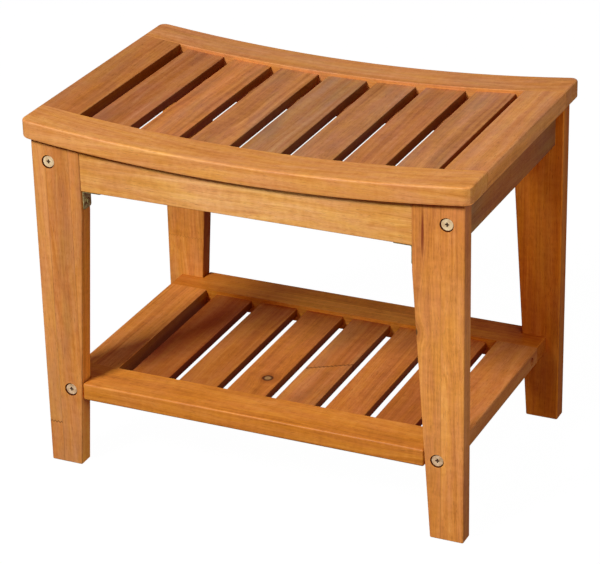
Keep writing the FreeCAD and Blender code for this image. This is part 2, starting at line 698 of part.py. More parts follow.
def make_shelf_end_board(label, side):
    """A board between the shelf's rails, drilled for the lower barrel nuts.

    The back nut goes in from outside, and the front nut from underneath.
    """
    body = new_body(label)
    low_x, high_x = span(side, SHELF_END_INNER, SHELF_END)
    corners = box_corners(low_x, high_x, f"-1 * {SHELF_INNER}", SHELF_INNER)
    add_slab(body, "board", "XY_Plane", SHELF_BOTTOM, "Sizes.shelf_height", corners)
    outer_x = side * number(SHELF_END)
    inner_x = side * number(SHELF_END_INNER)
    round_edges(
        body,
        "outer_edges",
        "Sizes.shelf_edge_round",
        lambda edge: runs_along(edge, 1) and lies_at(edge, 0, outer_x),
    )
    round_edges(
        body,
        "inner_edges",
        "Sizes.slat_edge_round",
        lambda edge: runs_along(edge, 1) and lies_at(edge, 0, inner_x),
    )
    dowel = [(mirrored(SHELF_DOWEL_X, side), SHELF_MIDDLE)]
    bolt = [(mirrored(LOWER_BOLT_X, side), SHELF_MIDDLE)]
    for end in SIDES:
        low, high = span(end, f"{SHELF_INNER} - {DOWEL_DEPTH}", SHELF_INNER)
        cut_holes(body, f"{FRONT_BACK[end]}_dowel_hole", "XZ_Plane", low, high, dowel, DOWEL_HOLE)
        low, high = span(end, BOLT_HOLE_END, SHELF_INNER)
        cut_holes(body, f"{FRONT_BACK[end]}_bolt_hole", "XZ_Plane", low, high, bolt, BOLT_HOLE)
    low, high = span(side, f"{LOWER_BOLT_X} - Sizes.nut_length / 2 - Sizes.dowel_end_gap", SHELF_END)
    back_nut = [("Sizes.nut_position", SHELF_MIDDLE)]
    cut_holes(body, "back_nut_hole", "YZ_Plane", low, high, back_nut, NUT_HOLE)
    high = f"{SHELF_MIDDLE} + Sizes.nut_length / 2 + Sizes.dowel_end_gap"
    front_nut = [(mirrored(LOWER_BOLT_X, side), mirrored("Sizes.nut_position", -1))]
    cut_holes(body, "front_nut_hole", "XY_Plane", SHELF_BOTTOM, high, front_nut, NUT_HOLE)
    return body


def make_shelf_slats():
    """The shelf's slats, level and a little below its rails."""
    slats = []
    for index in range(SHELF_SLATS):
        body = make_slat(f"shelf_slat_{index + 1}", SHELF_INNER, "Sizes.shelf_slat_thickness")
        x = f"{index - (SHELF_SLATS - 1) / 2} * Sizes.shelf_slat_pitch"
        place(body, x, "0", "Sizes.shelf_height - Sizes.shelf_slat_recess")
        slats.append(body)
    return slats


# Hardware.


def turn_profile(body, name, corners):
    """Revolve an outline in X and Z about the Z axis."""
    sketch = new_sketch(body, f"{name}_sketch", "XZ_Plane", "0")
    draw_outline(sketch, corners)
    revolution = body.newObject("PartDesign::Revolution", f"{body.Name}_{name}")
    revolution.Profile = sketch
    revolution.ReferenceAxis = (sketch, ["V_Axis"])
    revolution.Angle = 360
    doc.recompute()
    return revolution


def cut_cross(body, top):
    """Cut a cross recess into a head whose flat top is at the given height."""
    reach, half = "Sizes.bolt_cross_reach", "Sizes.bolt_cross_width / 2"
    low = f"{top} - Sizes.bolt_cross_depth"
    for name, x, y in (("slot", reach, half), ("cross_slot", half, reach)):
        corners = box_corners(mirrored(x, -1), x, mirrored(y, -1), y)
        cut_hollow(body, name, "XY_Plane", low, top, lambda sketch: draw_outline(sketch, corners))


def round_head(body, top, radius):
    """Round the outer edge of a turned head's flat top."""
    height = number(top)
    round_edges(
        body, "head_edge", radius, lambda edge: "Circle" in edge.Curve.TypeId and lies_at(edge, 2, height)
    )


def make_bolt_template():
    """A flat-headed connector bolt along Z, the underside of its head at height 0."""
    body = new_body("connector_bolt_template")
    head, thickness = "Sizes.bolt_head_radius", "Sizes.bolt_head_thickness"
    corners = [
        ("0", "-1 * Sizes.bolt_length"),
        ("Sizes.bolt_radius", "-1 * Sizes.bolt_length"),
        ("Sizes.bolt_radius", "0"),
        (head, "0"),
        (head, thickness),
        ("0", thickness),
    ]
    turn_profile(body, "turning", corners)
    round_head(body, thickness, "Sizes.head_edge_round")
    cut_cross(body, thickness)
    return body


def make_nut_template():
    """A barrel nut along Z with a cross hole for its bolt along Y, and a slot in its upper end."""
    body = new_body("barrel_nut_template")
    half = "Sizes.nut_length / 2"
    corners = [
        ("0", f"-1 * {half}"),
        ("Sizes.nut_radius", f"-1 * {half}"),
        ("Sizes.nut_radius", half),
        ("0", half),
    ]
    turn_profile(body, "turning", corners)
    bore = "Sizes.bolt_radius + Sizes.dowel_play"
    low, high = "-2 * Sizes.nut_radius", "2 * Sizes.nut_radius"
    cut_holes(body, "bore", "XZ_Plane", low, high, [("0", "0")], bore)
    slot = box_corners("-1 * Sizes.bolt_cross_width / 2", "Sizes.bolt_cross_width / 2", low, high)
    cut_hollow(
        body,
        "slot",
        "XY_Plane",
        f"{half} - Sizes.bolt_cross_depth",
        half,
        lambda sketch: draw_outline(sketch, slot),
    )
    return body


def make_screw_template():
    """A pan-headed wood screw along Z, the underside of its head at height 0."""
    body = new_body("bracket_screw_template")
    head, height = "Sizes.screw_head_radius", "Sizes.screw_head_height"
    corners = [
        ("0", "-1 * Sizes.screw_length"),
        ("Sizes.screw_radius", "-1 * Sizes.screw_length + Sizes.screw_tip"),
        ("Sizes.screw_radius", "0"),
        (head, "0"),
        (head, height),
        ("0", height),
    ]
    turn_profile(body, "turning", corners)
    round_head(body, height, "Sizes.head_edge_round")
    cut_cross(body, height)
    return body


def make_dowel_template(label, length):
    """A bevelled dowel along Z, centred on the origin."""
    body = new_body(label)
    radius, bevel = "Sizes.dowel_radius", "Sizes.dowel_bevel"
    half = f"({length} / 2)"
    corners = [
        ("0", f"-1 * {half}"),
        (f"{radius} - {bevel}", f"-1 * {half}"),
        (radius, f"-1 * {half} + {bevel}"),
        (radius, f"{half} - {bevel}"),
        (f"{radius} - {bevel}", half),
        ("0", half),
    ]
    turn_profile(body, "turning", corners)
    return body


def make_bracket(label, side_x, side_y):
    """An L-shaped bracket in the corner under an apron, against the inner edge of a leg."""
    body = new_body(label)
    arm, sheet_metal = "-1 * Sizes.bracket_arm", "-1 * Sizes.bracket_thickness"
    corners = [
        ("0", "0"),
        (arm, "0"),
        (arm, sheet_metal),
        (sheet_metal, sheet_metal),
        (sheet_metal, arm),
        ("0", arm),
    ]
    half = "Sizes.bracket_width / 2"
    add_slab(body, "bend", "XZ_Plane", f"-1 * {half}", half, corners)
    tip = number(arm)
    for name, across, along in (("top_corners", 2, 0), ("side_corners", 0, 2)):
        round_edges(
            body,
            name,
            "Sizes.bracket_corner_round",
            lambda edge: runs_along(edge, across) and lies_at(edge, along, tip),
        )
    bend = number(sheet_metal)
    round_edges(
        body,
        "bend_inside",
        "Sizes.bracket_thickness",
        lambda edge: runs_along(edge, 1) and lies_at(edge, 0, bend) and lies_at(edge, 2, bend),
    )
    screw = "-1 * Sizes.screw_position"
    hole = f"{SCREW_HOLE} + Sizes.nut_play"
    cut_holes(body, "side_hole", "YZ_Plane", sheet_metal, "0", [("0", screw)], hole)
    cut_holes(body, "top_hole", "XY_Plane", sheet_metal, "0", [(screw, "0")], hole)
    x, y = mirrored(LEG_INNER, side_x), mirrored(BRACKET_MIDDLE, side_y)
    place(body, x, y, "Sizes.apron_bottom", angle="0" if side_x > 0 else "180")
    return body


def make_group(label, template, places):
    """One sub-part of equal separate pieces. Each place is a position, an axis and a turn."""
    pieces = []
    for index, (position, axis, turn) in enumerate(places, start=1):
        piece = doc.addObject("App::Link", f"{label}_{index}")
        piece.LinkedObject = template
        place(piece, *position, axis, turn)
        pieces.append(piece)
    group = doc.addObject("Part::Compound", label)
    group.Links = pieces
    return group


def make_bolts_and_nuts():
    """Connector bolts through the legs, with their barrel nuts in the side aprons and in the shelf."""
    bolt, nut = make_bolt_template(), make_nut_template()
    inward, outward, downward = (lambda side: -90 * side), (lambda side: 90 * side), (lambda side: 180)
    rows = (
        ("upper", SIDE_APRON_MIDDLE, "Sizes.upper_bolt_height", {-1: inward, 1: inward}),
        ("lower", LOWER_BOLT_X, SHELF_MIDDLE, {-1: downward, 1: outward}),
    )
    groups = []
    for name, x, z, slot_turns in rows:
        bolts, nuts = [], []
        for side_x, side_y in CORNERS:
            along = mirrored(x, side_x)
            nut_y = mirrored("Sizes.nut_position", side_y)
            bolts.append(((along, mirrored(BOLT_SEAT, side_y), z), X_AXIS, str(-90 * side_y)))
            nuts.append(((along, nut_y, z), Y_AXIS, str(slot_turns[side_y](side_x))))
        groups.append(make_group(f"{name}_connector_bolts", bolt, bolts))
        groups.append(make_group(f"{name}_barrel_nuts", nut, nuts))
    return groups


def make_dowels():
    """The glued dowels of the seat, the leg frames, the side aprons and the shelf."""
    dowel = make_dowel_template("frame_dowel_template", "(2 * Sizes.dowel_grip)")
    seat_dowel = make_dowel_template("seat_dowel_template", "(Sizes.dowel_grip + Sizes.seat_dowel_rise)")
    seat_frame = [
        ((x, mirrored(RAIL_INNER, side_y), z), X_AXIS, "90")
        for side_y in SIDES
        for x, z in seat_dowel_centres(SIDES)
    ]
    apron = [
        ((mirrored(LEG_INNER, side_x), mirrored(APRON_MIDDLE, side_y), height), Y_AXIS, "90")
        for side_x, side_y in CORNERS
        for height in APRON_DOWEL_HEIGHTS
    ]
    under_seat = seat_curve(SIDE_APRON_MIDDLE, UNDER_SEAT)
    rise = f"{under_seat} + (Sizes.seat_dowel_rise - Sizes.dowel_grip) / 2"
    seat = [((x, y, rise), X_AXIS, "0") for side in SIDES for x, y in seat_dowel_places(side)]
    shelf = [
        ((mirrored(SHELF_DOWEL_X, side_x), mirrored(SHELF_INNER, side_y), SHELF_MIDDLE), X_AXIS, "90")
        for side_x, side_y in CORNERS
    ]
    return [
        make_group("seat_frame_dowels", dowel, seat_frame),
        make_group("apron_dowels", dowel, apron),
        make_group("seat_dowels", seat_dowel, seat),
        make_group("shelf_frame_dowels", dowel, shelf),
    ]


def make_brackets():
    """The four corner brackets, and the two screws of each as one group."""
    brackets, screws = [], []
    screw = make_screw_template()
    for side_x, side_y in CORNERS:
        name = f"corner_bracket_{FRONT_BACK[side_y]}_{LEFT_RIGHT[side_x]}"
        brackets.append(make_bracket(name, side_x, side_y))
        y = mirrored(BRACKET_MIDDLE, side_y)
        plate = mirrored(f"{LEG_INNER} - Sizes.bracket_thickness", side_x)
        screws.append(((plate, y, BRACKET_SCREW_HEIGHT), Y_AXIS, str(-90 * side_x)))
        under = mirrored(f"{LEG_INNER} - Sizes.screw_position", side_x)
        screws.append(((under, y, "Sizes.apron_bottom - Sizes.bracket_thickness"), X_AXIS, "180"))
    return brackets + [make_group("bracket_screws", screw, screws)]


def make_stool():
    """Every sub-part of the stool."""
    parts = [make_seat_rail(f"seat_{FRONT_BACK[side]}_rail", side) for side in SIDES]
    parts += [make_seat_end_board(f"seat_{LEFT_RIGHT[side]}_end_board", side) for side in SIDES]
    parts += make_seat_slats()
    for side_x, side_y in CORNERS:
        parts.append(make_leg(f"leg_{FRONT_BACK[side_y]}_{LEFT_RIGHT[side_x]}", side_x, side_y))
    parts += [make_apron(f"{FRONT_BACK[side]}_apron", side) for side in SIDES]
    parts += [make_side_apron(f"side_apron_{LEFT_RIGHT[side]}", side) for side in SIDES]
    parts += [make_shelf_rail(f"shelf_{FRONT_BACK[side]}_rail", side) for side in SIDES]
    parts += [make_shelf_end_board(f"shelf_{LEFT_RIGHT[side]}_end_board", side) for side in SIDES]
    parts += make_shelf_slats()
    parts += make_dowels()
    parts += make_bolts_and_nuts()
    parts += make_brackets()
    return parts


def check_document(parts):
    """Stop if any object failed to compute, or if a sub-part has no valid solid."""
    for item in doc.Objects:
        if "Invalid" in item.State or "Error" in item.State:
            raise RuntimeError(f"{item.Label} failed: {item.State}")
    for item in parts:
        if item.Shape.isNull() or not item.Shape.isValid() or not item.Shape.Solids:
            raise RuntimeError(f"{item.Label} has no valid solid")


def write_parts(parts):
    """Write one STEP file for each sub-part."""
    os.makedirs("parts", exist_ok=True)
    for item in parts:
        item.Shape.exportStep(f"parts/{item.Label}.step")
        box = item.Shape.BoundBox
        print(
            f"{item.Label}: {len(item.Shape.Solids)} solid(s), {item.Shape.Volume / 1000:.1f} cm3,"
            f" X {box.XMin:.1f} to {box.XMax:.1f}, Y {box.YMin:.1f} to {box.YMax:.1f},"
            f" Z {box.ZMin:.1f} to {box.ZMax:.1f}"
        )


stool = make_stool()
doc.recompute()
check_document(stool)
write_parts(stool)
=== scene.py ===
"""Shower stool in oiled acacia: materials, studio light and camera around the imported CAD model.

Lengths are metres, except where a name ends in _MM or a comment says millimetres.
The wood and metal nodes work in millimetres.
"""

import math
import random

import bmesh
import bpy
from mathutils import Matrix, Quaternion, Vector


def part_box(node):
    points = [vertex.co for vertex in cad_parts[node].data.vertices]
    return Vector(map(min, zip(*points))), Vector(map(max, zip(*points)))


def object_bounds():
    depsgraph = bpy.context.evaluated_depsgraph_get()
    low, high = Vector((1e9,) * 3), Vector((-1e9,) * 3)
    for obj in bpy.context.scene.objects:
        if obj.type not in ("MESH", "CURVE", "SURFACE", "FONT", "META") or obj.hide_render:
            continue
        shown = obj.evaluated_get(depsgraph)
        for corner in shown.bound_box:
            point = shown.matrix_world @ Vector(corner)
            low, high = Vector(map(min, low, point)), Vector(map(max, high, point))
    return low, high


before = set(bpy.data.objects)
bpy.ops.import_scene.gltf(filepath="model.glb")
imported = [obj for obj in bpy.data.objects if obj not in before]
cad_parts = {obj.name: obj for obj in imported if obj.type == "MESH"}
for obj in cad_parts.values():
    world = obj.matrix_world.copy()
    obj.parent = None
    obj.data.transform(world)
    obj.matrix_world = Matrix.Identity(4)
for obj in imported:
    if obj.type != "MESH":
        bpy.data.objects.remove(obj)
CAD_LOW, CAD_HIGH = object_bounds()
CENTRE = (CAD_LOW + CAD_HIGH) / 2

# Camera: degrees round from the front, above the floor, and about its own axis.
VIEW_AZIMUTH, VIEW_ELEVATION, VIEW_ROLL = 24.92, 24.97, -1.343
VIEW_DISTANCE = 3.1843
VIEW_OFFSET = Vector((-0.0319, 0.0472, -0.0396))  # from the stool's centre to the aimed point
SENSOR_MM, LENS_MM = 36.0, 154.3

MM_PER_METRE = 1000.0
SEED = 31


def direction(azimuth, elevation):
    """Unit vector from the stool, azimuth degrees right of the front and elevation above the floor."""
    a, e = math.radians(azimuth), math.radians(elevation)
    return Vector((math.sin(a) * math.cos(e), -math.cos(a) * math.cos(e), math.sin(e)))


def add_object(name, data):
    made = bpy.data.objects.new(name, data)
    bpy.context.scene.collection.objects.link(made)
    return made


def make_camera():
    data = bpy.data.cameras.new("camera")
    data.sensor_width = SENSOR_MM
    data.lens = LENS_MM
    camera = add_object("camera", data)
    back = direction(VIEW_AZIMUTH, VIEW_ELEVATION)
    roll = Quaternion((0, 0, 1), math.radians(VIEW_ROLL))
    camera.location = CENTRE + VIEW_OFFSET + back * VIEW_DISTANCE
    camera.rotation_mode = "QUATERNION"
    camera.rotation_quaternion = (-back).to_track_quat("-Z", "Y") @ roll
    bpy.context.scene.camera = camera


class Graph:
    """Adds nodes to one tree. An input is a number, a tuple or another node's output."""

    def __init__(self, tree):
        self.tree = tree

    def add(self, kind, inputs=None, output=0, **settings):
        node = self.tree.nodes.new("ShaderNode" + kind)
        for key, value in settings.items():
            setattr(node, key, value)
        for key, value in (inputs or {}).items():
            self.put(node.inputs[key], value)
        return node.outputs[output] if node.outputs else node

    def put(self, socket, value):
        if isinstance(value, bpy.types.NodeSocket):
            self.tree.links.new(value, socket)
        else:
            socket.default_value = value

    def math(self, operation, first, second=0.0, clamp=False):
        values = {0: first, 1: second}
        return self.add("Math", values, operation=operation, use_clamp=clamp)

    def vector(self, operation, first, second=(0.0, 0.0, 0.0), output=0):
        return self.add("VectorMath", {0: first, 1: second}, output, operation=operation)

    def total(self, *terms):
        """Sum of (value, weight) pairs, each value taken about its middle of 0.5."""
        result = 0.5
        for value, weight in terms:
            about = self.math("SUBTRACT", value, 0.5)
            result = self.math("ADD", result, self.math("MULTIPLY", about, weight))
        return result

    def split(self, vector):
        node = self.tree.nodes.new("ShaderNodeSeparateXYZ")
        self.put(node.inputs[0], vector)
        return tuple(node.outputs)

    def join(self, x, y, z):
        return self.add("CombineXYZ", {0: x, 1: y, 2: z})

    def fit(self, value, low, high, to_low=0.0, to_high=1.0, smooth=True):
        """Maps low..high to to_low..to_high, and holds the ends."""
        inputs = {"Value": value, "From Min": low, "From Max": high}
        inputs |= {"To Min": to_low, "To Max": to_high}
        kind = "SMOOTHSTEP" if smooth else "LINEAR"
        return self.add("MapRange", inputs, interpolation_type=kind)

    def noise(self, place, size, seed, detail=2.0, roughness=0.5, output=0):
        """Noise whose features are size long on each axis."""
        scaled = self.vector("DIVIDE", place, size)
        inputs = {"Vector": scaled, "W": seed, "Scale": 1.0}
        inputs |= {"Detail": detail, "Roughness": roughness}
        return self.add("TexNoise", inputs, output, noise_dimensions="4D")

    def line_noise(self, value, detail=2.0, roughness=0.5):
        inputs = {"W": value, "Scale": 1.0, "Detail": detail, "Roughness": roughness}
        return self.add("TexNoise", inputs, noise_dimensions="1D")

    def tint(self, factor, first, second, mode="MIX"):
        node = self.tree.nodes.new("ShaderNodeMix")
        node.data_type = "RGBA"
        node.blend_type = mode
        self.put(node.inputs[0], factor)
        self.put(node.inputs[6], first)
        self.put(node.inputs[7], second)
        return node.outputs[2]

    def ramp(self, value, stops):
        """Colour ramp through (position, colour) stops."""
        node = self.tree.nodes.new("ShaderNodeValToRGB")
        band = node.color_ramp
        while len(band.elements) < len(stops):
            band.elements.new(0.5)
        for element, (position, colour) in zip(band.elements, stops):
            element.position = position
            element.color = (*colour, 1.0)
        self.put(node.inputs[0], value)
        return node.outputs[0]


def grey(value):
    return (value, value, value, 1.0)


def new_group(name, inputs, outputs):
    """An empty shader group. Returns its graph, its inputs by name and its output node."""
    tree = bpy.data.node_groups.new(name, "ShaderNodeTree")
    for way, sockets in (("INPUT", inputs), ("OUTPUT", outputs)):
        for label, kind in sockets.items():
            tree.interface.new_socket(label, in_out=way, socket_type="NodeSocket" + kind)
    start = tree.nodes.new("NodeGroupInput")
    end = tree.nodes.new("NodeGroupOutput")
    return Graph(tree), {label: start.outputs[label] for label in inputs}, end


# Wood. A board's place is (along the grain, across its width, through its thickness).

HEART, MIDDLE, SAP = (0.33, 0.100, 0.026), (0.60, 0.222, 0.062), (0.80, 0.37, 0.135)
GOLDEN, ROSY = (1.02, 1.04, 0.86, 1.0), (0.98, 0.96, 1.14, 1.0)
CLOUD_BROWN = (0.27, 0.17, 0.10, 1.0)
VESSEL_BROWN = (0.16, 0.055, 0.018, 1.0)
KNOT_BROWN, KNOT_HALO = (0.10, 0.045, 0.02, 1.0), (0.34, 0.11, 0.03, 1.0)
KNOT_PALE = (0.40, 0.24, 0.13, 1.0)
GLUE_BROWN = (0.17, 0.07, 0.025, 1.0)
# Painted shade inside the counterbores round the bolt heads.
BORE_PAINTED_SHADE = (0.05, 0.018, 0.006, 1.0)
GUM_RED = (0.20, 0.045, 0.02, 1.0)

# Sizes of the figure in millimetres, those of noise as (along, across, through).
WANDER_SIZE, WANDER_REACH = (260.0, 60.0, 60.0), (0.0, 22.0, 22.0)
BAND_SIZE, STREAK_SIZE, FIBRE_SIZE = (520.0, 17.0, 17.0), (420.0, 4.2, 4.2), (170.0, 0.9, 0.9)
RIPPLE_SIZE, CLOUD_SIZE, VESSEL_SIZE = (7.0, 13.0, 13.0), (120.0, 24.0, 24.0), (8.0, 0.5, 0.5)
HUE_SIZE = (60.0, 13.0, 13.0)
STAVE_SHIFT = (400.0, 14.0, 14.0)  # how far apart two staves may be cut from the tree
RING_WIDTH, RINGS_PER_SEED = 4.6, 7.3
TOOTH_LENGTH = 2.2
GUM_HALF_WIDTH = 1.3
KNOT_BULGE = 7.0  # how far the rings stand out round a knot
KNOT_FADE, KNOT_PART = 0.22, 0.75  # how soon its pull fades, how far it parts the fibres
BORE_EDGE = (9.0, 8.6)  # from a bolt's axis: bare wood outside, counterbore inside
BORE_DEPTH = (0.2, 0.5)  # from the leg's face: the face itself, inside the counterbore
# Where the tint of a board's ends starts and is full, either way from its middle.
ENDS_FROM, ENDS_FULL = 50.0, 170.0
# Where painted light on a leg's narrow faces, standing in for light thrown up from the floor, starts
# and is full, down from its middle.
FOOT_LIGHT_FROM, FOOT_LIGHT_FULL = -95.0, -140.0

# How much each part of the figure changes the tone, colour, roughness, height and shade.
RINGS_IN_TONE, BANDS_IN_TONE, STREAKS_IN_TONE = 0.34, 0.46, 0.46
FIBRES_IN_TONE, RIPPLE_IN_TONE, STAVE_IN_TONE = 0.42, 0.28, 0.24
VESSELS_IN_COLOUR, BORE_SHADE_IN_COLOUR = 0.42, 0.9
FIBRES_IN_SATIN, CLOUDS_IN_SATIN, ARRIS_IN_SATIN = 0.16, 0.14, 0.04
VESSELS_IN_SATIN, END_GRAIN_IN_SATIN, POLISH = 0.10, 0.14, 0.09
FIBRE_HEIGHT, VESSEL_DEPTH, RIPPLE_HEIGHT, LINE_DEPTH = 0.022, 0.025, 0.05, 0.05
# The arris constants paint shade on rounded edges and a highlight along their middle.
END_GRAIN_SHADE, PAINTED_ARRIS_SHADE, PAINTED_CREST_HIGHLIGHT = 0.12, 0.06, 0.14

WOOD_INPUTS = {
    "Place": "Vector",
    "Facing": "Vector",
    "Seed": "Float",
    "Pith": "Vector",
    "Tilt": "Float",
    "Strip": "Float",
    "Shift": "Float",
    "Finger": "Float",
    "Slope": "Float",
    "Step": "Float",
    "Line": "Float",
    "Knot": "Vector",
    "Gum": "Vector",
    "Tone": "Float",
    "Cloud": "Float",
    "Tint": "Color",
    "Ends": "Color",
    "Side": "Color",
    "Foot": "Float",
    "Under": "Float",
    "Half": "Float",
    "Upper": "Vector",
    "Lower": "Vector",
}
WOOD_OUTPUTS = {"Color": "Color", "Roughness": "Float", "Height": "Float"}


def add_staves(graph, given, along, across):
    """The staves that a board is glued from, and the finger joint in the first of them.

    Returns a random tone and place for each piece, whether the point is past the joint, and how
    strongly a glue line shows.
    """
    strip = graph.math("ADD", graph.math("DIVIDE", across, given["Strip"]), given["Shift"])
    stave = graph.math("FLOOR", strip)
    teeth = graph.math("PINGPONG", across, TOOTH_LENGTH)
    slope = graph.math("MULTIPLY", across, given["Slope"])
    joint = graph.math("ADD", graph.math("ADD", given["Finger"], slope), teeth)
    beyond = graph.math("SUBTRACT", along, joint)
    first = graph.math("COMPARE", stave, 0.0)
    past_joint = graph.math("MULTIPLY", graph.math("GREATER_THAN", beyond, 0.0), first)
    chance = graph.tree.nodes.new("ShaderNodeTexWhiteNoise")
    graph.put(chance.inputs["Vector"], graph.join(stave, past_joint, given["Seed"]))

    from_edge = graph.math("MULTIPLY", graph.math("PINGPONG", strip, 0.5), given["Strip"])
    glue = graph.fit(from_edge, 0.60, 0.15, 0.0, 0.3)
    from_joint = graph.math("DIVIDE", graph.math("ABSOLUTE", beyond), given["Line"])
    butt = graph.fit(from_joint, 1.0, 0.3, 0.0, 0.75)
    lines = graph.math("MAXIMUM", glue, graph.math("MULTIPLY", butt, first))
    return chance.outputs["Value"], chance.outputs["Color"], past_joint, lines


def bend_fibres(graph, given, along, across, place):
    """Fibres wander, part round the knot and close again behind it.

    Returns the bent place, the pull of the knot and the distance from it in its own radii.
    """
    knot_along, knot_across, knot_radius = graph.split(given["Knot"])
    from_along = graph.math("SUBTRACT", along, knot_along)
    from_across = graph.math("SUBTRACT", across, knot_across)
    reach = graph.vector("LENGTH", graph.join(from_along, from_across, 0.0), output=1)
    ratio = graph.math("DIVIDE", reach, knot_radius)
    squared = graph.math("POWER", ratio, 2.0)
    pull = graph.math("EXPONENT", graph.math("MULTIPLY", squared, -KNOT_FADE))
    parted = graph.math("MULTIPLY", graph.math("MULTIPLY", from_across, pull), -KNOT_PART)
    wander = graph.noise(place, WANDER_SIZE, given["Seed"], 2.0, 0.5, output=1)
    wander = graph.vector("SUBTRACT", wander, (0.5, 0.5, 0.5))
    wander = graph.vector("MULTIPLY", wander, WANDER_REACH)
    bent = graph.vector("ADD", graph.vector("ADD", place, wander), graph.join(0.0, parted, 0.0))
    return bent, pull, ratio


def add_rings(graph, given, along, bent, pull):
    """Growth rings round a pith that lies off the board and leans along it."""
    lean = graph.join(0.0, 0.0, graph.math("MULTIPLY", along, given["Tilt"]))
    from_pith = graph.vector("ADD", graph.vector("ADD", bent, given["Pith"]), lean)
    from_pith = graph.vector("MULTIPLY", from_pith, (0.0, 1.0, 1.0))
    radius = graph.vector("LENGTH", from_pith, output=1)
    radius = graph.math("ADD", radius, graph.math("MULTIPLY", pull, KNOT_BULGE))
    year = graph.math("DIVIDE", radius, RING_WIDTH)
    year = graph.math("ADD", year, graph.math("MULTIPLY", given["Seed"], RINGS_PER_SEED))
    return graph.line_noise(year, 3.0, 0.62)


def add_gum(graph, given, along, across, fibres, colour):
    """A long dark streak of gum with a ragged edge."""
    gum_along, gum_across, gum_reach = graph.split(given["Gum"])
    far = graph.math("DIVIDE", graph.math("SUBTRACT", along, gum_along), gum_reach)
    aside = graph.math("DIVIDE", graph.math("SUBTRACT", across, gum_across), GUM_HALF_WIDTH)
    ragged = graph.math("MULTIPLY", graph.math("SUBTRACT", fibres, 0.5), 2.0)
    aside = graph.math("ADD", aside, ragged)
    spread = graph.vector("LENGTH", graph.join(far, aside, 0.0), output=1)
    return graph.tint(graph.fit(spread, 1.6, 0.5, 0.0, 0.95), colour, GUM_RED)


def add_knot(graph, ratio, fibres, colour):
    """A knot with a dark rim and a dark centre, pale between them, in a brown halo."""
    rough_ratio = graph.math("ADD", ratio, graph.math("MULTIPLY", fibres, 0.3))
    halo = graph.fit(rough_ratio, 2.6, 0.9, 0.0, 0.6)
    colour = graph.tint(halo, colour, KNOT_HALO)
    core = graph.tint(graph.fit(rough_ratio, 0.50, 0.85), KNOT_PALE, KNOT_BROWN)
    core = graph.tint(graph.fit(rough_ratio, 0.30, 0.12), core, KNOT_BROWN)
    return graph.tint(graph.fit(rough_ratio, 1.25, 0.95), colour, core)


def add_bore_shade(graph, given, colour):
    """Painted shade inside the counterbores for the upper and lower bolts."""
    along, across, through = graph.split(given["Place"])
    depth = graph.math("SUBTRACT", given["Half"], graph.math("ABSOLUTE", through))
    flat_place = graph.join(along, across, 0.0)
    from_bolt = graph.math(
        "MINIMUM",
        graph.vector("DISTANCE", flat_place, given["Upper"], output=1),
        graph.vector("DISTANCE", flat_place, given["Lower"], output=1),
    )
    inside = graph.fit(from_bolt, *BORE_EDGE)
    # Painted shade inside a counterbore.
    painted_bore_shade = graph.math("MULTIPLY", graph.fit(depth, *BORE_DEPTH), inside)
    return graph.tint(graph.math("MULTIPLY", painted_bore_shade, BORE_SHADE_IN_COLOUR), colour, BORE_PAINTED_SHADE)


def shade_faces(graph, given, along, end_grain, colour):
    """Sets faces apart. Returns the colour and how rounded the point's arris is.

    End grain is darker. A rounded arris gets painted shade, with a painted highlight along its middle,
    and painted light where it faces down. The narrow faces get painted light or shade by a tint of
    their own, and painted light from the floor near the bottom of a leg.
    """
    flat_x, flat_y, flat_z = graph.split(graph.vector("ABSOLUTE", given["Facing"]))
    flattest = graph.math("MAXIMUM", flat_x, graph.math("MAXIMUM", flat_y, flat_z))
    # A rounded edge gets painted shade, and a painted highlight along its middle.
    arris = graph.fit(flattest, 0.985, 0.86)
    painted_highlight_band = graph.fit(flattest, 0.80, 0.73)
    # Painted light on a rounded edge that faces down into shade.
    under = graph.fit(graph.split(given["Facing"])[2], -0.05, -0.45, 0.0, given["Under"])
    narrow_face = graph.fit(flat_y, 0.90, 0.99)
    # Painted light from the floor on the narrow faces near a leg's bottom.
    foot = graph.math(
        "MULTIPLY", graph.fit(along, FOOT_LIGHT_FROM, FOOT_LIGHT_FULL, 0.0, given["Foot"]), narrow_face
    )
    shade = given["Tone"]
    shade = graph.math("SUBTRACT", shade, graph.math("MULTIPLY", end_grain, END_GRAIN_SHADE))
    shade = graph.math("SUBTRACT", shade, graph.math("MULTIPLY", arris, PAINTED_ARRIS_SHADE))
    shade = graph.math("ADD", shade, graph.math("MULTIPLY", painted_highlight_band, PAINTED_CREST_HIGHLIGHT))
    shade = graph.math("ADD", shade, graph.math("MULTIPLY", arris, under))
    shade = graph.math("MULTIPLY", shade, graph.math("ADD", foot, 1.0))
    near_end = graph.fit(graph.math("ABSOLUTE", along), ENDS_FROM, ENDS_FULL)
    # Painted light or shade on the narrow faces, by a tint of their own.
    colour = graph.vector("MULTIPLY", colour, graph.tint(narrow_face, grey(1.0), given["Side"]))
    colour = graph.vector("MULTIPLY", colour, graph.join(shade, shade, shade))
    colour = graph.vector("MULTIPLY", colour, given["Tint"])
    colour = graph.vector("MULTIPLY", colour, graph.tint(near_end, grey(1.0), given["Ends"]))
    return colour, arris


